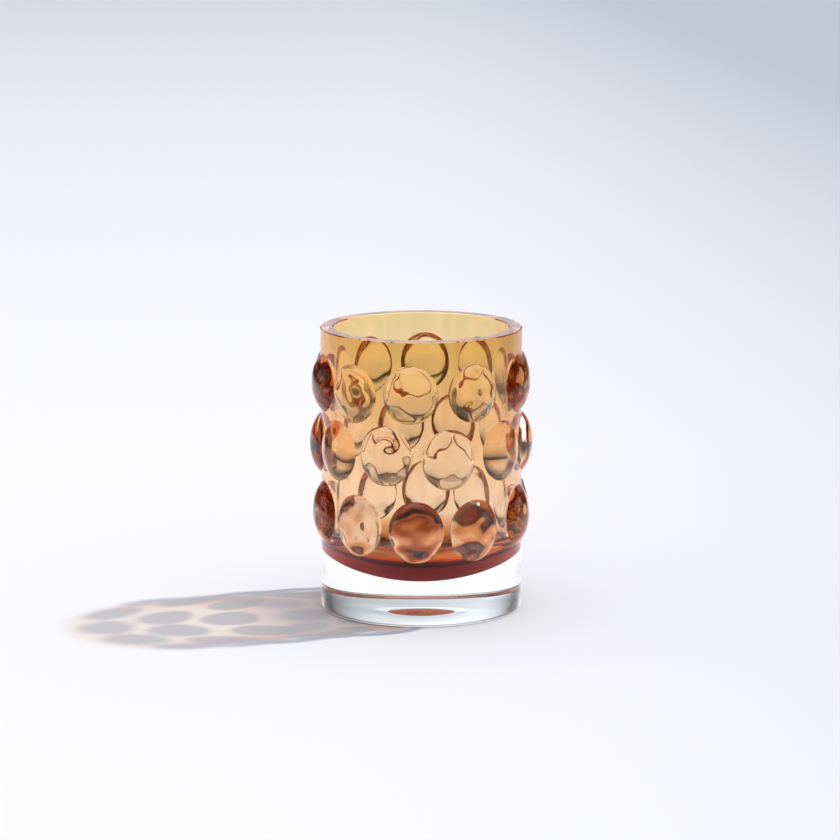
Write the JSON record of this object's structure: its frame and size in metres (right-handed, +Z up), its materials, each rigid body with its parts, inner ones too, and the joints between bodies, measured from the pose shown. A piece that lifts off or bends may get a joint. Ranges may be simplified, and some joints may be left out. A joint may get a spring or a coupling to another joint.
{
  "type": "flower vase",
  "caption": "Straight-sided cased glass vase: an amber cup inside clear glass, a thick clear foot, a ground rim and staggered rows of rounded clear bosses.",
  "frame": {"origin": "centre of the foot's flat face, on the vase's axis", "axes": "+Z up along the axis to the mouth; -Y is the side that faces the viewer in the picture"},
  "size_m": [0.1108, 0.1108, 0.1415],
  "materials": {
    "clear_glass": "fire-polished clear soda-lime glass",
    "amber_glass": "transparent amber glass, honey near the mouth and peach lower down"
  },
  "bodies": {
    "root": {"amber_cup": "amber_glass", "clear_casing": "clear_glass", "prunt_bottom_01": "clear_glass", "prunt_bottom_02": "clear_glass", "prunt_bottom_03": "clear_glass", "prunt_bottom_04": "clear_glass", "prunt_bottom_05": "clear_glass", "prunt_bottom_06": "clear_glass", "prunt_bottom_07": "clear_glass", "prunt_bottom_08": "clear_glass", "prunt_bottom_09": "clear_glass", "prunt_bottom_10": "clear_glass", "prunt_middle_01": "clear_glass", "prunt_middle_02": "clear_glass", "prunt_middle_03": "clear_glass", "prunt_middle_04": "clear_glass", "prunt_middle_05": "clear_glass", "prunt_middle_06": "clear_glass", "prunt_middle_07": "clear_glass", "prunt_middle_08": "clear_glass", "prunt_middle_09": "clear_glass", "prunt_middle_10": "clear_glass", "prunt_top_01": "clear_glass", "prunt_top_02": "clear_glass", "prunt_top_03": "clear_glass", "prunt_top_04": "clear_glass", "prunt_top_05": "clear_glass", "prunt_top_06": "clear_glass", "prunt_top_07": "clear_glass", "prunt_top_08": "clear_glass", "prunt_top_09": "clear_glass", "prunt_top_10": "clear_glass"}
  },
  "joints": []
}
